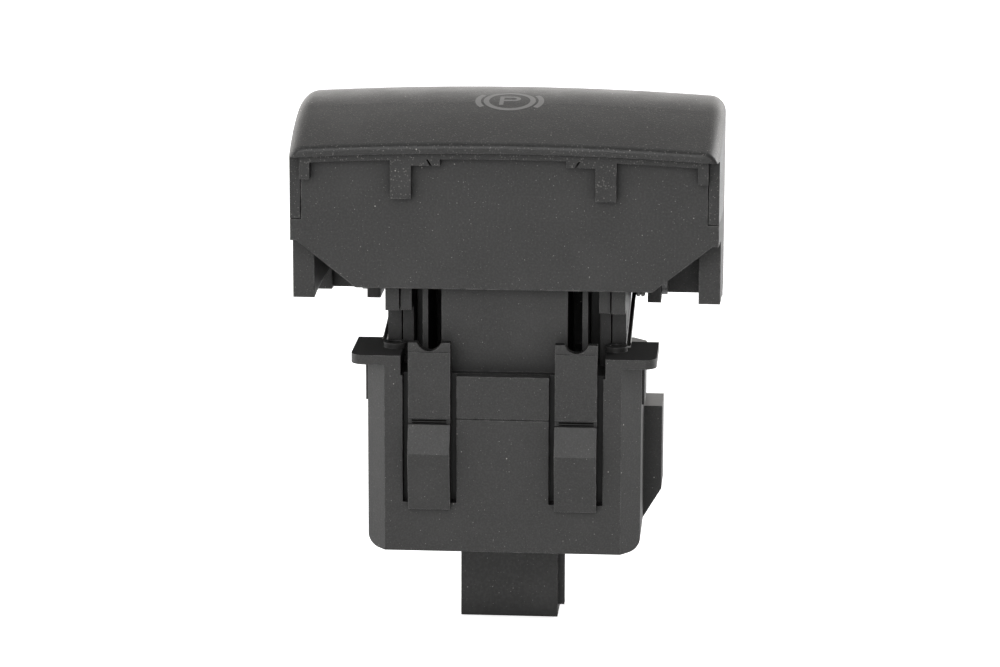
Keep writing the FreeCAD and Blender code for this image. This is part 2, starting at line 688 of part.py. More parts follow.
def make_springs():
    """A coil round the pin, a long leg forwards to the ear and a short leg back to the lever. The
    coil is drawn along Z and stood along X at the end, and the left spring mirrors the right one."""
    coil = [half_turn(number) for number in range(SPRING_TURNS * 2)]
    long_leg = spring_leg("spring_leg", 90, size.spring_leg)
    short_leg = spring_leg("spring_tail", -90, size.spring_tail)
    bind(short_leg, "Placement.Base.z", size.spring_pitch * SPRING_TURNS)
    spring = fused("return_spring_right", *coil, long_leg, short_leg)
    stand = FreeCAD.Rotation(FreeCAD.Vector(1, 1, 1), 120)
    turn = FreeCAD.Rotation(FreeCAD.Vector(1, 0, 0), plain(size.spring_slope) - 90)
    spring.Placement.Rotation = turn.multiply(stand)
    bind(spring, "Placement.Base.x", post_inner + size.post_width + size.spring_gap + size.spring_wire / 2)
    bind(spring, "Placement.Base.y", pivot_y)
    bind(spring, "Placement.Base.z", size.pivot_height)
    named("return_spring_right", spring)
    other = doc.addObject("Part::Mirroring", "return_spring_left")
    other.Source = spring
    other.Normal = FreeCAD.Vector(1, 0, 0)
    named("return_spring_left", other)


# The hood's shape. From the side it is a lip, a long rising front, a top and a rounded back, three
# arcs that run smoothly into each other. Turned about a far axis along Y they get a slight crown,
# and the slightly bowed sides trim them.

lip_y = back(-size.lip_front)
hood_rear_y = back(size.hood_rear)
rear_centre = (hood_rear_y - size.rear_radius, size.shoulder_height)
knee_reach = size.top_radius - size.rear_radius
top_centre = (rear_centre[0] - knee_reach * sine(size.knee_slope),
              rear_centre[1] - knee_reach * cosine(size.knee_slope))
crest_reach = size.front_radius - size.top_radius
front_centre = (top_centre[0] + crest_reach * sine(size.crest_slope),
                top_centre[1] - crest_reach * cosine(size.crest_slope))
hood_top = top_centre[1] + size.top_radius
crown_reach = size.hood_width / 2 + size.rear_corner
crown_sweep = Size(2 * math.degrees(math.asin(plain(crown_reach) / plain(size.crown_radius))),
                   "2 * asin(" + crown_reach.formula + " / " + size.crown_radius.formula + ")")


def hood_section(inset, face, low):
    """The hood from the side, moved inwards, from a front face back and from a low end up."""
    rear_radius = size.rear_radius - inset
    top_radius = size.top_radius - inset
    front_radius = size.front_radius - inset
    knee = (rear_centre[0] + rear_radius * sine(size.knee_slope),
            rear_centre[1] + rear_radius * cosine(size.knee_slope))
    crest = (top_centre[0] - top_radius * sine(size.crest_slope),
             top_centre[1] + top_radius * cosine(size.crest_slope))
    run = front_centre[0] - face
    lip = front_centre[1] + root(front_radius * front_radius - run * run)
    rear = hood_rear_y - inset
    return [(face, low), (rear, low), (rear, size.shoulder_height), Arc(rear_radius), knee,
            Arc(top_radius), crest, Arc(front_radius), (face, lip)]


def hood_plan(inset, rear):
    """The hood from the top, moved inwards, with its two bowed sides and a straight rear."""
    middle = lip_y + size.side_span / 2
    bow = size.side_radius * size.side_radius
    side = size.hood_width / 2 - inset
    flare = root(bow - (rear - middle) * (rear - middle)) - root(bow - size.side_span * size.side_span / 4)
    right = [(side, lip_y), Arc(size.side_radius), (side + flare, rear)]
    return right + mirrored(-1, right)


def crowned(name, section):
    """Turns a side view about the far axis."""
    feature = doc.addObject("Part::Revolution", name)
    feature.Source = free_sketch(name, "side", 0, [section])
    feature.Axis = FreeCAD.Vector(0, 1, 0)
    feature.Symmetric = True
    feature.Solid = True
    bind(feature, "Base.z", hood_top - size.crown_radius)
    bind(feature, "Angle", crown_sweep)
    return feature


def rounded(block, wanted, radius_at):
    """Rounds the edges that a rule picks, with a radius that another rule gives for each end."""
    doc.recompute()
    edges = []
    for number, edge in enumerate(block.Shape.Edges):
        if wanted(edge):
            edges.append((number + 1, radius_at(edge.Vertexes[0].Z), radius_at(edge.Vertexes[-1].Z)))
    feature = doc.addObject("Part::Fillet", block.Label + "_rounded")
    feature.Base = block
    feature.Edges = edges
    return feature


def at_side(edge):
    return abs(edge.CenterOfMass.x) > plain(size.hood_width / 2 - size.rear_corner)


def hood_block(name, inset, corner, face, low):
    """The hood as a solid block, moved inwards, down to a flat bottom, with its edges rounded
    along both sides and down its rear corners."""
    profile = crowned(name + "_profile", hood_section(inset, face, low - size.hood_wall))
    plan = prism(name + "_plan", "top", low, hood_top - low + 1, hood_plan(inset, hood_rear_y + 1))
    top = plain(size.hood_round - inset)
    return rounded(common(name, profile, plan),
                   lambda edge: at_side(edge) and edge.BoundBox.YMax > plain(face) + 1
                   and edge.BoundBox.ZMax > plain(low) + 1,
                   lambda height: plain(corner) if height < plain(size.shoulder_height) else top)


def side_grooves(name):
    """A shallow upright groove in each side of the hood, across cap and lever alike."""
    near = back(size.groove_back)
    deep = size.hood_width / 2 + size.groove_depth / 4
    pieces = [prism(name, "side", start_of(side, deep, size.hood_wall), size.hood_wall,
                    box(near, near + size.groove_width, size.groove_end, size.groove_top))
              for side in SIDES.values()]
    return fused(name + "_pair", *pieces)


def make_hood_cap():
    """The outer cap: a thin shell with side skirts, open at the front below its lip."""
    sharp = hood_block("cap_block", 0, size.rear_corner, lip_y, size.hood_seam)
    block = rounded(sharp, lambda edge: edge.BoundBox.YMax < plain(lip_y) + 0.01
                    and edge.BoundBox.ZMax > plain(size.hood_seam) + 1,
                    lambda height: plain(size.lip_round))
    inside = hood_block("cap_inside", size.hood_wall, size.rear_corner - size.hood_wall,
                        lip_y + size.hood_wall, size.hood_seam - 1)
    opening = crowned("cap_opening", box(lip_y - 1, back(size.skirt_back), size.hood_seam - 5, size.lip_edge))
    hollow = fused("cap_hollow", inside, opening, side_grooves("cap_groove"))
    named("hood_cap", cut("hood_cap", block, hollow))


# The lever body carries the cap. Above the seam it is a shell inside the cap, and below it the
# side legs and the rear wall lie flush with the cap. Ribs inside carry the pivot and the fingers.

def plate_outline():
    """The front plate from the front, with its lower corners cut away."""
    right = [(size.plate_foot, size.plate_end), (size.plate_notch, size.plate_shoulder),
             (size.plate_half_width, size.plate_shoulder), (size.plate_half_width, hood_top)]
    return right + mirrored(-1, right)


def finger_outline():
    """A drive rib from the side: it hangs from the roof and ends in a finger for the round nose."""
    near = back(size.drive_rib_back)
    rear = near + size.drive_rib_depth
    low = size.nose_height - size.finger_thick / 2
    high = size.nose_height + size.finger_thick / 2
    return [(back(size.nose_back), low), (rear, low), (rear + size.drive_rib_depth, hood_top),
            (near, hood_top), (near, high), (back(size.nose_back), high)]


def arm_rib_outline():
    """A pivot arm from the side, bevelled at its lower end and joined to the rear wall."""
    near = back(size.lever_arm_front)
    rear = hood_rear_y - size.rear_thick / 2
    return [(near + size.pivot_radius, size.lever_arm_end), (rear, size.lever_arm_end + size.pivot_radius),
            (rear, hood_top), (near, hood_top), (near, size.lever_arm_end + size.pivot_radius)]


def make_lever_shell(envelope):
    """Hollows the lever's outer form and trims its front below the plate."""
    inner = size.hood_wall + size.lever_gap + size.lever_wall
    below = size.rear_end - 1
    wide = size.hood_width
    hollow_low = prism("lever_hollow_low", "top", below, size.inner_step - below,
                       hood_plan(inner, hood_rear_y - size.rear_thick))
    hollow_profile = crowned("lever_hollow_profile", hood_section(inner, back(size.skirt_back) - 1, size.inner_step - 3))
    hollow_plan = prism("lever_hollow_plan", "top", size.inner_step - 1, hood_top, hood_plan(inner, hood_rear_y))
    hollow_up = common("lever_hollow_up", hollow_profile, hollow_plan)
    leg_trim = prism("lever_leg_trim", "top", below, size.plate_shoulder - below,
                     box(-wide, wide, lip_y - 1, back(size.leg_back)))
    foot_trim = prism("lever_foot_trim", "top", below, size.leg_end - below,
                      box(-wide, wide, lip_y - 1, hood_rear_y - size.rear_corner))
    return cut("lever_shell", envelope, fused("lever_hollow", hollow_low, hollow_up, leg_trim, foot_trim))


def lever_rib(name, side, inner, thick, outline):
    return prism(name, "side", start_of(side, inner, thick), thick, outline)


def make_lever_body():
    plate_y = back(size.skirt_back)
    seam = size.hood_seam - size.seam_gap
    lower = rounded(prism("lever_lower", "top", size.rear_end, seam - size.rear_end, hood_plan(0, hood_rear_y)),
                    lambda edge: edge.BoundBox.ZLength > 1 and edge.BoundBox.YMax > plain(hood_rear_y) - 1,
                    lambda height: plain(size.rear_corner))
    upper = hood_block("lever_upper", size.hood_wall + size.lever_gap, size.lever_corner,
                       plate_y, size.plate_shoulder)
    front_trim = prism("lever_front_trim", "top", size.rear_end - 1, seam - size.rear_end + 2,
                       box(-size.hood_width, size.hood_width, lip_y - 1, plate_y))
    envelope = cut("lever_envelope", fused("lever_outer", lower, upper), front_trim)
    shell = make_lever_shell(envelope)
    ribs = [prism("lever_plate", "front", plate_y, size.plate_thick, plate_outline())]
    stop_low = size.column_top + size.stop_height + size.stop_travel
    stop = box(back(size.stop_back) - size.stop_rib_depth / 2, back(size.stop_back) + size.stop_rib_depth / 2,
               stop_low, hood_top)
    nose = Disc(back(size.nose_back), size.nose_height, size.nose_radius)
    finger_inner = slider_centre - size.slider_thick / 2
    for side in SIDES.values():
        ribs.append(lever_rib("lever_arm", side, lever_arm_inner, size.lever_arm_thick, arm_rib_outline()))
        ribs.append(lever_rib("drive_finger", side, finger_inner, size.slider_thick, finger_outline()))
        ribs.append(lever_rib("finger_nose", side, finger_inner, size.slider_thick, nose))
        ribs.append(lever_rib("stop_rib", side, stop_centre - size.stop_rib_thick / 2, size.stop_rib_thick, stop))
    inside = common("lever_ribs", fused("lever_ribs_long", *ribs), envelope)
    reach = lever_arm_inner + size.lever_arm_thick + 1
    bores = prism("pivot_bores", "side", -reach, reach * 2,
                  Disc(pivot_y, size.pivot_height, size.pivot_radius + size.running_gap))
    half = lens_half + size.fit_gap
    near = back(size.symbol_back) - size.lens_depth / 2 - size.fit_gap
    lens_hole = prism("lens_hole", "top", size.lens_low - size.lever_wall, hood_top - size.lens_low,
                      box(-half, half, near, near + size.lens_depth + size.fit_gap * 2))
    holes = fused("lever_holes", bores, lens_hole, side_grooves("lever_groove"))
    named("lever_body", cut("lever_body", fused("lever_frame", shell, inside), holes))


def make_hood_frame():
    """The dark strip under the lip, with a drop at each end, two tabs and a snap hook by each tab."""
    near = back(-size.band_front)
    depth = size.skirt_back + size.band_front - size.band_gap
    half = size.band_half_width
    end_fall = half * half / (size.crown_radius * 2)
    top = size.lip_edge - end_fall - size.band_gap * 3
    strip = crowned("band_strip", box(near, near + depth, size.band_end, size.lip_edge - size.band_gap))
    width = prism("band_width", "front", near, depth, box(-half, half, size.drop_end, hood_top))
    pieces = [common("band", strip, width)]
    for side in SIDES.values():
        drop = mirrored(side, box(half - size.drop_width, half, size.drop_end, top))
        pieces.append(prism("band_drop", "front", near, depth, drop))
        tab = mirrored(side, box(size.tab_inner, size.tab_inner + size.tab_width, size.tab_end, top))
        pieces.append(prism("band_tab", "front", near, depth, tab))
        lug = mirrored(side, [(size.hook_inner, size.hook_end), (size.hook_split, size.hook_end),
                              (size.hook_split + size.hook_slant, size.band_end + size.hook_gap),
                              (size.hook_inner, size.band_end + size.hook_gap)])
        pieces.append(prism("band_lug", "front", near, depth, lug))
        start = size.hook_split + size.hook_gap
        hook = mirrored(side, [(start, size.hook_end), (size.tab_inner + size.hook_gap, size.hook_end),
                               (size.tab_inner + size.hook_gap, size.band_end + size.hook_gap),
                               (start + size.hook_slant, size.band_end + size.hook_gap)])
        pieces.append(prism("band_hook", "front", near, depth, hook))
    named("hood_frame", fused("hood_frame", *pieces))


def make_symbol_lens():
    """The clear block that spreads the pipe's light behind the symbol, close under the cap."""
    near = back(size.symbol_back) - size.lens_depth / 2
    plan = prism("lens_plan", "top", size.lens_low, hood_top - size.lens_low,
                 box(-lens_half, lens_half, near, near + size.lens_depth))
    under_cap = size.hood_wall + size.lens_gap
    profile = crowned("lens_profile", hood_section(under_cap, lip_y + under_cap, size.hood_seam))
    named("symbol_lens", common("symbol_lens", plan, profile))


make_housing()
make_header()
make_pins()
make_board()
make_board_parts()
make_carrier()
make_light_pipe()
make_stop_pads()
for name, side in SIDES.items():
    make_slider(name, side)
    make_magnet(name, side)
    make_pivot_pin(name, side)
make_springs()
make_hood_cap()
make_lever_body()
make_hood_frame()
make_symbol_lens()
doc.recompute()

for thing in doc.Objects:
    if "Invalid" in thing.State or "Error" in thing.State:
        raise RuntimeError("failed: " + thing.Label)
for feature in pockets:
    if feature.Shape.Volume > feature.BaseFeature.Shape.Volume - 0.001:
        raise RuntimeError("cuts nothing: " + feature.Label)
for node in nodes:
    if node.Shape.isNull() or not node.Shape.isValid() or not node.Shape.Solids:
        raise RuntimeError("no sound solid: " + node.Label)
os.makedirs("parts", exist_ok=True)
for node in nodes:
    node.Shape.exportStep("parts/" + node.Label + ".step")
    print(node.Label, len(node.Shape.Solids), round(node.Shape.Volume, 1))
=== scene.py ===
# %% [markdown]
# # A parking brake switch, dressed for a studio picture
# The solids of the switch come ready made. This lesson gives each of them a finish, lays the
# parking brake symbol on the hood, and sets up a plain white studio with the camera where the
# photographer stood.

# %% Load the switch
import bpy
import bmesh
import json
import math
from mathutils import Matrix, Vector
from mathutils.bvhtree import BVHTree


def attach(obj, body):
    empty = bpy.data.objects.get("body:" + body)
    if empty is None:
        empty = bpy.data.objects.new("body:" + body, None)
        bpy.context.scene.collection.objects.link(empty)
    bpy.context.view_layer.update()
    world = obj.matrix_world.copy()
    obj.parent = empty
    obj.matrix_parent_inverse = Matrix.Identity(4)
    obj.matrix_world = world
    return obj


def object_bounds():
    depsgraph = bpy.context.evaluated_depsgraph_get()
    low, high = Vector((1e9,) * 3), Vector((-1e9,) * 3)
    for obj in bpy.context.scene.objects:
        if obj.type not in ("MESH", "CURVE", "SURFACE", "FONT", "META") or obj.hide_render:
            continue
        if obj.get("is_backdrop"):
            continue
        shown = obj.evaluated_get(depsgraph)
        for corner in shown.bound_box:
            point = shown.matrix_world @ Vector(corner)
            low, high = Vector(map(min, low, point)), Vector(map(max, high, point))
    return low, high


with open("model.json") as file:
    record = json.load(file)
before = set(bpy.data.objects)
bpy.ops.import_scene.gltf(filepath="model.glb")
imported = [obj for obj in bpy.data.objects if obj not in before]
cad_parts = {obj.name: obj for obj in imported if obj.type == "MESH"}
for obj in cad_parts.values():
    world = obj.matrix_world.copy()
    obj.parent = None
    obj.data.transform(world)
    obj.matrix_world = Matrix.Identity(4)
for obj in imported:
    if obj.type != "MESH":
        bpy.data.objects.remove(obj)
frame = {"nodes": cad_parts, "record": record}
low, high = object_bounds()
MM = 0.001
print("pieces:", len(frame["nodes"]))
print("size in mm:", [round((b - a) / MM, 1) for a, b in zip(low, high)])

# %% [markdown]
# ## The camera
# The picture was taken from a little over half a metre away with a long lens, from slightly above
# and slightly to the right. A camera could be aimed by hand, but a place and three turns say it
# exactly: yaw about the upright axis, pitch below the horizon, and a very small roll.

# %% Place the camera
CAMERA_PLACE = Vector((38.03, -549.14, 127.45)) * MM
YAW = 4.106
PITCH = 12.853
ROLL = 0.148


def aim(place, yaw, pitch, roll):
    """A camera matrix from a place and three angles in degrees."""
    turn = Matrix.Rotation(math.radians(yaw), 4, "Z")
    tip = Matrix.Rotation(math.radians(90.0 - pitch), 4, "X")
    lean = Matrix.Rotation(math.radians(roll), 4, "Z")
    return Matrix.Translation(place) @ turn @ tip @ lean


camera_data = bpy.data.cameras.new("studio_camera")
camera_data.sensor_width = 36.0
camera_data.lens = 138.0
camera_data.clip_start = 0.05
camera_data.clip_end = 20.0
camera = bpy.data.objects.new("studio_camera", camera_data)
camera.matrix_world = aim(CAMERA_PLACE, YAW, PITCH, ROLL)
bpy.context.scene.collection.objects.link(camera)
bpy.context.scene.camera = camera
print("camera distance in mm:", round(CAMERA_PLACE.length / MM, 1))

# %% [markdown]
# ## Joining nodes
# A material or a world is a graph of nodes. Some joins come back all the time, so each gets a small
# helper: one maps a range of values onto another, one does a step of arithmetic, and one shows
# either of two shaders.

# %% Node helpers
def ranged(tree, source, low_in, high_in, low_out=0.0, high_out=1.0):
    """Maps one range of a value onto another, and stays put past both ends."""
    mapped = tree.nodes.new("ShaderNodeMapRange")
    mapped.inputs["From Min"].default_value = low_in
    mapped.inputs["From Max"].default_value = high_in
    mapped.inputs["To Min"].default_value = low_out
    mapped.inputs["To Max"].default_value = high_out
    tree.links.new(source, mapped.inputs["Value"])
    return mapped.outputs["Result"]


def reckoned(tree, operation, first, second):
    """One step of arithmetic on two values. The second may be a plain number."""
    step = tree.nodes.new("ShaderNodeMath")
    step.operation = operation
    tree.links.new(first, step.inputs[0])
    if isinstance(second, float):
        step.inputs[1].default_value = second
    else:
        tree.links.new(second, step.inputs[1])
    return step.outputs["Value"]


def either(tree, mask, off, on):
    """Shows one shader where the mask is 0 and the other where it is 1."""
    choice = tree.nodes.new("ShaderNodeMixShader")
    tree.links.new(mask, choice.inputs["Fac"])
    tree.links.new(off, choice.inputs[1])
    tree.links.new(on, choice.inputs[2])
    return choice.outputs["Shader"]


print("node helpers ready")

# %% [markdown]
# ## The studio
# The world shows white to the camera, but it sends only a modest light on the switch itself, so
# black plastic stays black. Reflections see a studio wall behind the switch, bright low down and
# dim above. This gives the hood its pale, slightly warm rim.

# %% White world
WHITE = (1.0, 1.0, 1.0, 1.0)
WARM_WHITE = (1.0, 0.982, 0.955, 1.0)
AMBIENT = 0.20
# A span of directions, and how bright the wall is at either end of it.
BRIGHT_BEHIND = (0.10, 0.98, 0.16, 1.75)
DIM_ABOVE = (0.12, 0.58, 1.25, 0.22)

world = bpy.data.worlds.new("studio_world")
bpy.context.scene.world = world
world.use_nodes = True
sky = world.node_tree
sky.nodes.clear()


def background(colour, strength):
    """Light from all round. The strength is a number or the output of a node."""
    light = sky.nodes.new("ShaderNodeBackground")
    light.inputs["Color"].default_value = colour
    if isinstance(strength, float):
        light.inputs["Strength"].default_value = strength
    else:
        sky.links.new(strength, light.inputs["Strength"])
    return light.outputs["Background"]


directions = sky.nodes.new("ShaderNodeTexCoord")
direction = sky.nodes.new("ShaderNodeSeparateXYZ")
sky.links.new(directions.outputs["Generated"], direction.inputs["Vector"])
rearward = ranged(sky, direction.outputs["Y"], *BRIGHT_BEHIND)
lower = ranged(sky, direction.outputs["Z"], *DIM_ABOVE)
wall = background(WARM_WHITE, reckoned(sky, "MULTIPLY", rearward, lower))
rays = sky.nodes.new("ShaderNodeLightPath")
unseen = either(sky, rays.outputs["Is Glossy Ray"], background(WHITE, AMBIENT), wall)
surroundings = either(sky, rays.outputs["Is Camera Ray"], unseen, background(WHITE, 1.0))
sky_output = sky.nodes.new("ShaderNodeOutputWorld")
sky.links.new(surroundings, sky_output.inputs["Surface"])
print("world nodes:", len(sky.nodes))

# %% [markdown]
# ## The floor
# A white sheet runs back out of sight, a hair below the switch. A grid from bmesh is enough for it.
# The same helper turns any finished bmesh into an object, so it serves the later pieces too.

# %% White floor
FLOOR_GAP = 0.2 * MM
FLOOR_HALF = 4.0


def standing(name, work):
    """Turns a finished bmesh into an object in the scene, at the origin."""
    mesh = bpy.data.meshes.new(name)
    work.to_mesh(mesh)
    work.free()
    made = bpy.data.objects.new(name, mesh)
    bpy.context.scene.collection.objects.link(made)
    return made


floor_work = bmesh.new()
bmesh.ops.create_grid(floor_work, x_segments=2, y_segments=2, size=FLOOR_HALF)
bmesh.ops.translate(floor_work, vec=(0.0, 0.0, low.z - FLOOR_GAP), verts=floor_work.verts)
floor = standing("floor", floor_work)
floor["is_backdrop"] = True
print("floor at", round((low.z - FLOOR_GAP) / MM, 2), "mm")

# %% [markdown]
# ## The floor's finish
# The floor is pale paper that keeps the shadow of the switch. A glow is added where the camera
# looks at it, so that it runs into the white of the world, and where a reflection meets it behind
# the switch, so that the low part of the studio is bright in the hood.

# %% Floor finish
PAPER = (0.9, 0.9, 0.9, 1.0)
GLOW = 0.80
GLOW_STARTS = 0.08
GLOW_FULL = 0.30

floor_finish = bpy.data.materials.new("white_floor")
floor_finish.use_nodes = True
sheet = floor_finish.node_tree
sheet.nodes.clear()
paper = sheet.nodes.new("ShaderNodeBsdfDiffuse")
paper.inputs["Color"].default_value = PAPER
glow = sheet.nodes.new("ShaderNodeEmission")
glow.inputs["Color"].default_value = WHITE
glow.inputs["Strength"].default_value = GLOW
glowing = sheet.nodes.new("ShaderNodeAddShader")
sheet.links.new(paper.outputs["BSDF"], glowing.inputs[0])
sheet.links.new(glow.outputs["Emission"], glowing.inputs[1])
spots = sheet.nodes.new("ShaderNodeTexCoord")
spot = sheet.nodes.new("ShaderNodeSeparateXYZ")
sheet.links.new(spots.outputs["Object"], spot.inputs["Vector"])
path = sheet.nodes.new("ShaderNodeLightPath")
behind = ranged(sheet, spot.outputs["Y"], GLOW_STARTS, GLOW_FULL)
mirrored = reckoned(sheet, "MULTIPLY", path.outputs["Is Glossy Ray"], behind)
bright = reckoned(sheet, "MAXIMUM", path.outputs["Is Camera Ray"], mirrored)
floor_surface = either(sheet, bright, paper.outputs["BSDF"], glowing.outputs["Shader"])
sheet_output = sheet.nodes.new("ShaderNodeOutputMaterial")
sheet.links.new(floor_surface, sheet_output.inputs["Surface"])
floor.data.materials.append(floor_finish)
print("floor nodes:", len(sheet.nodes))

# %% [markdown]
# ## The lamps
# Four large soft lamps do the rest: one over the top, one in front, and a strip on either side that
# draws a thin bright line down the edges. An area lamp is as soft as it is large, and each is
# turned to face the middle of the switch.

# %% Soft lamps
SWITCH_MIDDLE = Vector((0.0, 0.0, 0.01))


def soft_lamp(name, place, width, length, watts):
    """A rectangular lamp that faces the switch."""
    data = bpy.data.lights.new(name, "AREA")
    data.shape = "RECTANGLE"
    data.size = width
    data.size_y = length
    data.energy = watts
    lamp = bpy.data.objects.new(name, data)
    lamp.location = place
    lamp.rotation_euler = (SWITCH_MIDDLE - Vector(place)).to_track_quat("-Z", "Y").to_euler()
    bpy.context.scene.collection.objects.link(lamp)


soft_lamp("top_lamp", (0.0, 0.15, 0.75), 0.9, 0.7, watts=1.2)
soft_lamp("front_lamp", (-0.15, -0.85, 0.35), 0.8, 0.5, watts=3.6)
soft_lamp("right_strip", (0.60, 0.45, 0.20), 0.25, 0.7, watts=4.4)
soft_lamp("left_strip", (-0.62, 0.10, 0.20), 0.25, 0.7, watts=2.4)


# %% [markdown]
# ## A small kit for finishes
# Every finish here starts from one surface shader. The class keeps that shader, the coordinates
# and the relief that has been added so far, and its methods add one kind of node each. All patterns
# use object coordinates, so they stay on the piece when it moves.
#
# Three of the masks look at the shape itself. The bevel node rounds an edge for the light alone,
# and where its normal turns away from the true one there is an edge. The occlusion node says how
# open a place is, so a narrow gap can be painted darker as painted shade. The true normal says
# which faces look up.

# %% Finish helpers
class Finish:
    """A material with a surface shader and a shared set of coordinates."""

    def __init__(self, name):
        self.material = bpy.data.materials.new(name)
        self.material.use_nodes = True
        self.tree = self.material.node_tree
        self.surface = self.tree.nodes["Principled BSDF"]
        self.coordinates = self.node("ShaderNodeTexCoord").outputs["Object"]
        self.normal = None

    def node(self, kind, **values):
        made = self.tree.nodes.new(kind)
        for key, value in values.items():
            setattr(made, key, value)
        return made

    def link(self, source, target):
        self.tree.links.new(source, target)

    def set(self, name, value):
        """Gives one of the surface's sockets a plain value."""
        self.surface.inputs[name].default_value = value

    def feed(self, name, source):
        """Gives one of the surface's sockets a pattern."""
        self.link(source, self.surface.inputs[name])

    def noise(self, scale, detail=3.0, stretch=(1.0, 1.0, 1.0)):
        """A noise pattern. The scale counts features per metre."""
        mapping = self.node("ShaderNodeMapping")
        mapping.inputs["Scale"].default_value = stretch
        texture = self.node("ShaderNodeTexNoise")
        texture.inputs["Scale"].default_value = scale
        texture.inputs["Detail"].default_value = detail
        self.link(self.coordinates, mapping.inputs["Vector"])
        self.link(mapping.outputs["Vector"], texture.inputs["Vector"])
        return texture.outputs["Fac"]

    def spread(self, source, low_in, high_in, low_out=0.0, high_out=1.0):
        """Maps one range of a pattern onto another."""
        return ranged(self.tree, source, low_in, high_in, low_out, high_out)

    def vary(self, pattern, least=0.0, most=1.0):
        """Maps the middle of a noise, where nearly all of it lies, from least to most."""
        return self.spread(pattern, 0.3, 0.7, least, most)

    def step(self, operation, first, second):
        """One step of arithmetic on two masks."""
        return reckoned(self.tree, operation, first, second)

    def mix(self, mask, off, on):
        """A colour that goes from off to on with a mask. Either end may be a pattern."""
        blend = self.node("ShaderNodeMix", data_type="RGBA")
        self.link(mask, blend.inputs["Factor"])
        for value, socket in ((off, blend.inputs["A"]), (on, blend.inputs["B"])):
            if isinstance(value, tuple):
                socket.default_value = value
            else:
                self.link(value, socket)
        return blend.outputs["Result"]

    def bump(self, height, distance, strength):
        """Adds relief. Reliefs stack: each one starts from the normal of the one before."""
        relief = self.node("ShaderNodeBump")
        relief.inputs["Distance"].default_value = distance
        relief.inputs["Strength"].default_value = strength
        self.link(height, relief.inputs["Height"])
        if self.normal is not None:
            self.link(self.normal, relief.inputs["Normal"])
        self.normal = relief.outputs["Normal"]
        self.feed("Normal", self.normal)

    def soft_edges(self, radius):
        """Rounds the edges for the light alone, and returns a mask that is 1 along them."""
        rounded = self.node("ShaderNodeBevel", samples=4)
        rounded.inputs["Radius"].default_value = radius
        facing = self.node("ShaderNodeNewGeometry").outputs["Normal"]
        turn = self.node("ShaderNodeVectorMath", operation="DOT_PRODUCT")
        self.link(rounded.outputs["Normal"], turn.inputs[0])
        self.link(facing, turn.inputs[1])
        self.normal = rounded.outputs["Normal"]
        return self.spread(turn.outputs["Value"], 0.80, 0.99, 1.0, 0.0)

    def openness(self, distance):
        """A mask that is 0 deep in a gap and 1 out in the open."""
        shade = self.node("ShaderNodeAmbientOcclusion", samples=6)
        shade.inputs["Distance"].default_value = distance
        return self.spread(shade.outputs["AO"], 0.25, 0.96)

    def top_faces(self, height):
        """A mask that is 1 on the faces that look up and lie above a height."""
        facing = self.node("ShaderNodeNewGeometry").outputs["True Normal"]
        upward = self.node("ShaderNodeSeparateXYZ")
        self.link(facing, upward.inputs["Vector"])
        place = self.node("ShaderNodeSeparateXYZ")
        self.link(self.coordinates, place.inputs["Vector"])
        looks_up = self.spread(upward.outputs["Z"], 0.90, 0.99)
        above = self.spread(place.outputs["Z"], height - 0.5 * MM, height)
        return self.step("MULTIPLY", looks_up, above)


def grey(level):
    """A grey with a trace of warmth, as black plastic has."""
    return (level, level * 0.985, level * 0.965, 1.0)


print("finish kit ready")


# %% [markdown]
# ## Dust and painted glints
# The switch in the picture carries many specks of pale dust, a few of them large. A Voronoi texture
# cuts space into cells with one random point in each. Where a surface passes close to such a point
# it shows a tiny spot, and a random value per cell leaves some of the cells empty. A faint haze
# goes under the specks. Where the share is above 1, as on the hood and the frame, every cell holds
# a
# speck and the finest ones are larger: there the specks are also painted glints of the grain.

# %% Dust and painted glints
HAZE = grey(0.085)
FINE_SPECK = (0.145, 0.141, 0.133, 1.0)
MIDDLE_SPECK = (0.27, 0.262, 0.248, 1.0)
LARGE_SPECK = (0.48, 0.46, 0.43, 1.0)


def dust(finish, cells, radius, share):
    """A mask that is 1 in the middle of a speck. The share says how many cells hold one."""
    cloud = finish.node("ShaderNodeTexVoronoi")
    cloud.inputs["Scale"].default_value = cells
    finish.link(finish.coordinates, cloud.inputs["Vector"])
    inside = finish.spread(cloud.outputs["Distance"], radius * 0.5, radius, 1.0, 0.0)
    chance = finish.node("ShaderNodeSeparateColor")
    finish.link(cloud.outputs["Color"], chance.inputs["Color"])
    kept = finish.step("LESS_THAN", chance.outputs["Red"], share)
    return finish.step("MULTIPLY", inside, kept)


def dust_and_glints(finish, colour, share):
    """A haze and three sizes of speck over a colour. A share above 1 fills every cell and swells
    the finest ones, which then also paint glints of the grain.
    """
    film = finish.spread(finish.noise(130.0, 4.0), 0.50, 0.74, 0.0, 0.20)
    finest = 0.160 * max(share, 1.0)
    colour = finish.mix(film, colour, HAZE)
    colour = finish.mix(dust(finish, 2300.0, finest, share), colour, FINE_SPECK)
    colour = finish.mix(dust(finish, 1150.0, 0.095, share), colour, MIDDLE_SPECK)
    return finish.mix(dust(finish, 420.0, 0.050, share), colour, LARGE_SPECK)


print("dust kit ready")


# %% [markdown]
# ## Moulded black plastic
# Nearly every piece that shows is black plastic. A wide noise varies its colour a little, as the
# flow of the plastic in the mould does, and a fine noise gives the grain that the mould's surface
# leaves. Edges are painted paler in places, partly as wear and partly as painted highlight, gaps
# are painted darker as painted shade, and the dust lies on top. One function makes them all, and
# the numbers say how they differ.
#
# The hood has a satin shine. The lever and the frame under it are duller, and the housing lies
# between the two. The frame shares the hood's grain, but it carries the most specks: dust, together
# with painted glints of the grain. The tops of the housing's ears, which no eye sees once the
# switch is fitted, are matt, and their colour is painted dark as painted shade from the hood above
# them.

# %% Plastic
EDGE_WIDTH = 0.22 * MM
GAP_REACH = 4.5 * MM
GRAIN_PALER = 1.8
EDGE_WEAR_AND_HIGHLIGHT = 6.5
GAP_PAINTED_SHADE = 0.15
TOP_PAINTED_SHADE = 0.12


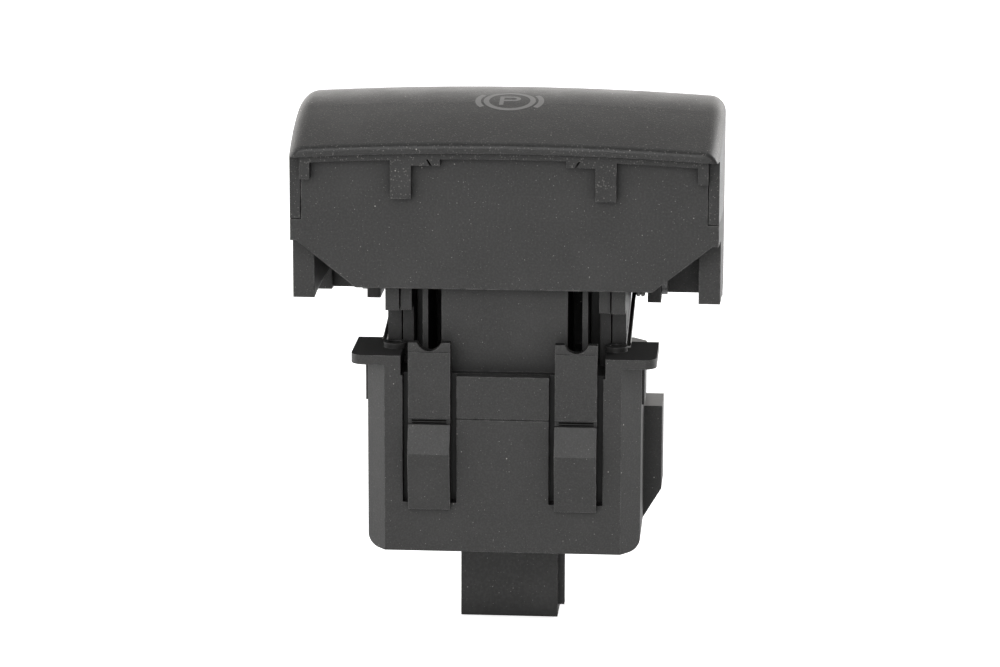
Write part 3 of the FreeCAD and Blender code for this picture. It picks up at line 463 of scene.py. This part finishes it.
def moulded_plastic(name, level, rough, grain, depth, specks=0.0, edge_width=EDGE_WIDTH, matt_and_shaded_above=None):
    """Black plastic: its grey level, roughness, grain per metre, grain depth and share of dust
    specks, which above 1 also paint glints of the grain.

    Edge width is the width of the rounded edges, which are painted paler, partly as wear and partly
    as painted highlight. Faces that look up and lie above the height matt_and_shaded_above are
    matt, and their colour is painted dark as painted shade."""
    made = Finish(name)
    flow = made.noise(90.0, 4.0)
    fine = made.noise(grain, 2.0)
    colour = made.mix(made.vary(flow), grey(level * 0.92), grey(level * 1.08))
    grains = made.spread(fine, 0.42, 0.66, 0.0, 0.45)
    colour = made.mix(grains, colour, grey(level * GRAIN_PALER))
    # Edges are painted paler in patches: partly wear, partly painted highlight.
    places = made.spread(made.noise(650.0, 2.0), 0.38, 0.62, 0.12, 0.8)
    wear_and_highlight = made.step("MULTIPLY", made.soft_edges(edge_width), places)
    colour = made.mix(wear_and_highlight, colour, grey(level * EDGE_WEAR_AND_HIGHLIGHT))
    # Dust specks. Where the share is above 1 they are also painted glints of the grain.
    if specks > 0.0:
        colour = dust_and_glints(made, colour, specks)
    # Painted shade: closed-in gaps and corners, found by the occlusion node, are painted darker.
    colour = made.mix(made.openness(GAP_REACH), grey(level * GAP_PAINTED_SHADE), colour)
    dullness = made.vary(made.noise(240.0, 3.0), rough - 0.02, rough + 0.03)
    if matt_and_shaded_above is not None:
        # Painted shade from the hood on the upward faces, which are also made matt.
        tops = made.top_faces(matt_and_shaded_above)
        colour = made.mix(tops, colour, grey(level * TOP_PAINTED_SHADE))
        dullness = made.step("MAXIMUM", dullness, tops)
    made.feed("Base Color", colour)
    made.feed("Roughness", dullness)
    made.bump(fine, depth, 0.6)
    made.bump(flow, depth, 0.2)
    made.set("Specular IOR Level", 0.5)
    return made


hood_finish = moulded_plastic("satin_hood_plastic", 0.034, 0.38, 4200.0, 0.07 * MM, 1.5)
lever_finish = moulded_plastic("smooth_lever_plastic", 0.042, 0.50, 3200.0, 0.05 * MM, 0.7,
                               edge_width=0.4 * MM)
frame_finish = moulded_plastic("dark_frame_plastic", 0.036, 0.50, 4200.0, 0.07 * MM, 2.0)
housing_finish = moulded_plastic("housing_plastic", 0.044, 0.44, 4000.0, 0.04 * MM, 0.5,
                                 matt_and_shaded_above=-1.0 * MM)
header_finish = moulded_plastic("connector_plastic", 0.036, 0.42, 2600.0, 0.03 * MM, 0.4)
carrier_finish = moulded_plastic("carrier_plastic", 0.042, 0.45, 4000.0, 0.03 * MM, 0.4)
slider_finish = moulded_plastic("slider_plastic", 0.042, 0.36, 2600.0, 0.02 * MM)
package_finish = moulded_plastic("epoxy_package", 0.022, 0.62, 7000.0, 0.04 * MM)
stop_finish = moulded_plastic("stop_rubber", 0.024, 0.85, 3800.0, 0.08 * MM)
print("plastics:", [m.name for m in bpy.data.materials if "plastic" in m.name])


# %% [markdown]
# ## Metals
# The springs are drawn wire, so their fine scratches run along the wire. The pins are turned, and
# the terminals are plated. Each is a metal with a low roughness, a stretched noise for the marks
# that the tool left, and a wide noise for a slight tarnish.

# %% Metal
ALONG_X = (0.1, 1.0, 1.0)
ALONG_Z = (1.0, 1.0, 0.1)
ALONG_WIRE = (1.0, 0.2, 0.2)
NO_GRAIN = (1.0, 1.0, 1.0)


def worked_metal(name, colour, rough, stretch, tarnish):
    """Bare or plated metal with tool marks that run the way the stretch says."""
    made = Finish(name)
    marks = made.noise(2600.0, 3.0, stretch)
    stain = made.spread(made.noise(420.0, 3.0), 0.35, 0.7)
    darker = tuple(channel * tarnish for channel in colour[:3]) + (1.0,)
    made.feed("Base Color", made.mix(stain, colour, darker))
    made.feed("Roughness", made.vary(marks, rough - 0.08, rough + 0.1))
    made.bump(marks, 0.01 * MM, 0.5)
    made.set("Metallic", 1.0)
    return made


spring_finish = worked_metal("drawn_spring_wire", (0.17, 0.17, 0.165, 1.0), 0.40, ALONG_WIRE, 0.8)
pin_finish = worked_metal("turned_pin_steel", (0.20, 0.20, 0.20, 1.0), 0.34, ALONG_X, 0.85)
terminal_finish = worked_metal("tinned_terminal", (0.74, 0.69, 0.55, 1.0), 0.30, ALONG_Z, 0.8)
magnet_finish = worked_metal("plated_magnet", (0.42, 0.42, 0.43, 1.0), 0.38, NO_GRAIN, 0.75)
metals = (spring_finish, pin_finish, terminal_finish, magnet_finish)
print("metals:", [metal.material.name for metal in metals])

# %% [markdown]
# ## The circuit board
# The board is green lacquer over copper, and faint tracks show through it. An image of tracks could
# be laid on it, but a brick texture turned into a mask gives straight runs like them with no image.

# %% Board
LACQUER_DEEP = (0.012, 0.07, 0.03, 1.0)
LACQUER_LIGHT = (0.02, 0.10, 0.045, 1.0)
LACQUER_ON_COPPER = (0.05, 0.19, 0.09, 1.0)

board_finish = Finish("board_lacquer")
bricks = board_finish.node("ShaderNodeTexBrick")
bricks.inputs["Scale"].default_value = 260.0
bricks.inputs["Mortar Size"].default_value = 0.035
board_finish.link(board_finish.coordinates, bricks.inputs["Vector"])
tracks = bricks.outputs["Fac"]
tone = board_finish.noise(150.0, 3.0)
lacquer = board_finish.mix(board_finish.vary(tone), LACQUER_DEEP, LACQUER_LIGHT)
board_finish.feed("Base Color", board_finish.mix(tracks, lacquer, LACQUER_ON_COPPER))
board_finish.feed("Roughness", board_finish.vary(tone, 0.22, 0.32))
board_finish.bump(tracks, 0.03 * MM, 0.5)
print("board nodes:", len(board_finish.tree.nodes))

# %% [markdown]
# ## The clear pieces and the lamp
# The lens and the light pipe are clear polished plastic, a little cloudy so that they don't look
# like window glass. The lamp's package is pale and waxy. One pattern each varies colour, roughness
# and relief together, and the symbol and the slits use the same function later.

# %% Clear plastic and lamp package
CLOUDY = (0.80, 0.82, 0.83, 1.0)
CLEAR = (0.90, 0.91, 0.91, 1.0)
WAX_DEEP = (0.72, 0.70, 0.62, 1.0)
WAX_PALE = (0.84, 0.81, 0.72, 1.0)


def patterned(name, scale, detail, colours, roughness, depth=0.0, strength=0.0):
    """A finish whose colour, roughness and relief all follow one noise."""
    made = Finish(name)
    pattern = made.noise(scale, detail)
    made.feed("Base Color", made.mix(pattern, *colours))
    made.feed("Roughness", made.vary(pattern, *roughness))
    if depth > 0.0:
        made.bump(pattern, depth, strength)
    return made


clear_finish = patterned("clear_light_plastic", 300.0, 3.0, (CLOUDY, CLEAR), (0.06, 0.14),
                         depth=0.02 * MM, strength=0.3)
clear_finish.set("Transmission Weight", 0.7)
clear_finish.set("IOR", 1.49)
lamp_finish = patterned("lamp_package", 900.0, 3.0, (WAX_DEEP, WAX_PALE), (0.2, 0.35),
                        depth=0.02 * MM, strength=0.3)
print("inner finishes:", clear_finish.material.name, lamp_finish.material.name)

# %% [markdown]
# ## Put the finishes on
# The record names a material slot for each piece. Going through that list dresses every piece in
# one pass, and nothing is left plain.

# %% Dress the pieces
FINISH_OF_SLOT = {
    "hood_plastic": hood_finish,
    "lever_plastic": lever_finish,
    "frame_plastic": frame_finish,
    "housing_plastic": housing_finish,
    "header_plastic": header_finish,
    "carrier_plastic": carrier_finish,
    "slider_plastic": slider_finish,
    "part_plastic": package_finish,
    "clear_plastic": clear_finish,
    "lamp_plastic": lamp_finish,
    "board_laminate": board_finish,
    "spring_steel": spring_finish,
    "pin_steel": pin_finish,
    "magnet_steel": magnet_finish,
    "pin_brass": terminal_finish,
    "stop_rubber": stop_finish,
}
for entry in frame["record"]["subparts"]:
    dressing = FINISH_OF_SLOT[entry["material_slot"]].material
    for slot in frame["nodes"][entry["node"]].material_slots:
        slot.material = dressing
    print(entry["node"], "->", dressing.name)

# %% [markdown]
# ## The parking brake symbol
# The symbol is the common sign for a parking brake: a P in a ring, with a bracket on either side.
# On the real hood it is etched through the paint, so light can shine through it. A text object
# could give the P, but here all of it is drawn flat from simple strips. An edge spun about the
# middle leaves a band behind it, all the way round for the ring and part of the way for a bracket
# or the bowl of the P.

# %% Bands and bars
def add_band(work, inner, outer, start, sweep, middle=(0.0, 0.0), steps=48):
    """Spins a short edge about a middle point and leaves a flat band."""
    angle = math.radians(start)
    centre = Vector((middle[0], middle[1], 0.0))
    outward = Vector((math.cos(angle), math.sin(angle), 0.0))
    ends = [work.verts.new(centre + outward * reach) for reach in (inner, outer)]
    edge = work.edges.new(ends)
    bmesh.ops.spin(work, geom=ends + [edge], cent=centre, axis=(0.0, 0.0, 1.0),
                   dvec=(0.0, 0.0, 0.0), angle=math.radians(sweep), steps=steps,
                   use_merge=abs(sweep) > 359.0, use_duplicate=False)


def add_bar(work, left, right, bottom, top, columns=4, rows=4):
    """A flat bar, cut into small faces so that it can follow the curved hood."""
    middle = Matrix.Translation(((left + right) / 2, (bottom + top) / 2, 0.0))
    stretch = Matrix.Diagonal(((right - left) / 2, (top - bottom) / 2, 1.0, 1.0))
    bmesh.ops.create_grid(work, x_segments=columns, y_segments=rows, size=1.0,
                          matrix=middle @ stretch)


print("drawing helpers ready")

# %% [markdown]
# ## Draw the symbol
# First the ring and the two brackets, then the P: a stem, two short bars, and a half band that
# closes them on the right. Points that fall together are merged, so the strips become one sheet.

# %% Draw the symbol flat
RING_OUTER = 3.8 * MM
STROKE = 0.82 * MM
BRACKET_OUTER = 5.0 * MM
BRACKET_REACH = 33.0
P_LEFT = -1.45 * MM
P_TOP = 1.85 * MM
P_FOOT = -1.75 * MM
P_STROKE = 0.62 * MM
BOWL_RADIUS = 1.05 * MM
BOWL_X = 0.55 * MM
SAME_POINT = 0.005 * MM

symbol_work = bmesh.new()
add_band(symbol_work, RING_OUTER - STROKE, RING_OUTER, 0.0, 360.0, steps=96)
for side in (0.0, 180.0):
    add_band(symbol_work, BRACKET_OUTER - STROKE, BRACKET_OUTER,
             side - BRACKET_REACH, BRACKET_REACH * 2)
stem_right = P_LEFT + P_STROKE
bowl_foot = P_TOP - BOWL_RADIUS * 2
add_bar(symbol_work, P_LEFT, stem_right, P_FOOT, P_TOP, rows=10)
add_bar(symbol_work, stem_right, BOWL_X, P_TOP - P_STROKE, P_TOP, columns=6)
add_bar(symbol_work, stem_right, BOWL_X, bowl_foot, bowl_foot + P_STROKE, columns=6)
add_band(symbol_work, BOWL_RADIUS - P_STROKE, BOWL_RADIUS, -90.0, 180.0,
         middle=(BOWL_X, P_TOP - BOWL_RADIUS), steps=24)
bmesh.ops.remove_doubles(symbol_work, verts=symbol_work.verts, dist=SAME_POINT)
print("symbol faces:", len(symbol_work.faces))

# %% [markdown]
# ## Lay the symbol on the hood
# Each point of the flat drawing looks straight down for the hood and settles there, a few
# hundredths of a millimetre proud. The drawing is flattened a little first, by the cosine of the
# slope, so that it has its true height again once it lies on the slope.

# %% Lay the symbol down
SYMBOL_PLACE = Vector((0.0, -0.8)) * MM
SLOPE = math.cos(math.radians(11.8))
PROUD = 0.02 * MM
INLAY = 0.03 * MM
WELL_ABOVE = high.z + 10.0 * MM
DOWN = Vector((0.0, 0.0, -1.0))

hood_mesh = frame["nodes"]["hood_cap"].data
hood_tree = BVHTree.FromPolygons([v.co.copy() for v in hood_mesh.vertices],
                                 [tuple(p.vertices) for p in hood_mesh.polygons])
for vert in symbol_work.verts:
    above = Vector((vert.co.x + SYMBOL_PLACE.x, vert.co.y * SLOPE + SYMBOL_PLACE.y, WELL_ABOVE))
    landing, facing = hood_tree.ray_cast(above, DOWN)[:2]
    vert.co = landing + facing * PROUD
bmesh.ops.recalc_face_normals(symbol_work, faces=symbol_work.faces)
for face in symbol_work.faces:
    if face.normal.z < 0.0:
        face.normal_flip()
bmesh.ops.solidify(symbol_work, geom=symbol_work.faces[:], thickness=INLAY)
symbol = standing("brake_symbol", symbol_work)
print("symbol triangles:", sum(len(p.vertices) - 2 for p in symbol.data.polygons))

# %% [markdown]
# ## The symbol's finish
# The etched plastic is paler than the hood and a little uneven, since the light behind it is off.
# A fine noise gives both its tone and its matt touch. The inlay rides on the lever with the hood.

# %% Finish the symbol
symbol_finish = patterned("etched_symbol", 3500.0, 2.0, (grey(0.19), grey(0.29)), (0.4, 0.55),
                          depth=0.03 * MM, strength=0.4)
symbol.data.materials.append(symbol_finish.material)
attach(symbol, "lever")
print("symbol finish:", symbol_finish.material.name)

# %% [markdown]
# ## The slits over the catches
# Each snap arm has a slit over its catch, with a thin tongue of plastic left standing in it. The
# solids have the slit as a shallow step. Above and below the tongue a thin near-black strip lies on
# that step as painted shade, because light doesn't reach the bottom of so narrow a slit. The bare
# step left between the two strips stands for the tongue.

# %% Paint shade into the slits
SLIT_MIDDLE = 10.65 * MM
SLIT_LENGTH = 5.0 * MM
SLIT_FACE = -13.81 * MM
STRIP_THICKNESS = 0.04 * MM
BELOW_TONGUE = (-8.50 * MM, -8.36 * MM)
ABOVE_TONGUE = (-8.20 * MM, -7.98 * MM)

# Thin near-black strips of painted shade above and below the tongue of each slit.
slit_work = bmesh.new()
for side in (-1.0, 1.0):
    for bottom, top in (BELOW_TONGUE, ABOVE_TONGUE):
        place = Matrix.Translation((side * SLIT_MIDDLE, SLIT_FACE, (bottom + top) / 2))
        extent = Matrix.Diagonal((SLIT_LENGTH, STRIP_THICKNESS, top - bottom, 1.0))
        bmesh.ops.create_cube(slit_work, size=1.0, matrix=place @ extent)
slits = standing("painted_slit_shadows", slit_work)

slit_shade_finish = patterned("slit_depth", 900.0, 2.0, (grey(0.002), grey(0.006)), (0.85, 0.95))
slit_shade_finish.set("Specular IOR Level", 0.1)
slits.data.materials.append(slit_shade_finish.material)
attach(slits, "housing")
print("slit strips:", len(slits.data.polygons) // 6)

# %% [markdown]
# ## The dressed size and the view transform
# The dressed switch must not be larger than the solids. Its box is measured again and printed, and
# the view transform is set to Standard.

# %% Measure the dressed box and set the view transform
low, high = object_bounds()
bpy.context.scene.view_settings.view_transform = "Standard"
print("visual size in mm:", [round((b - a) / MM, 1) for a, b in zip(low, high)])
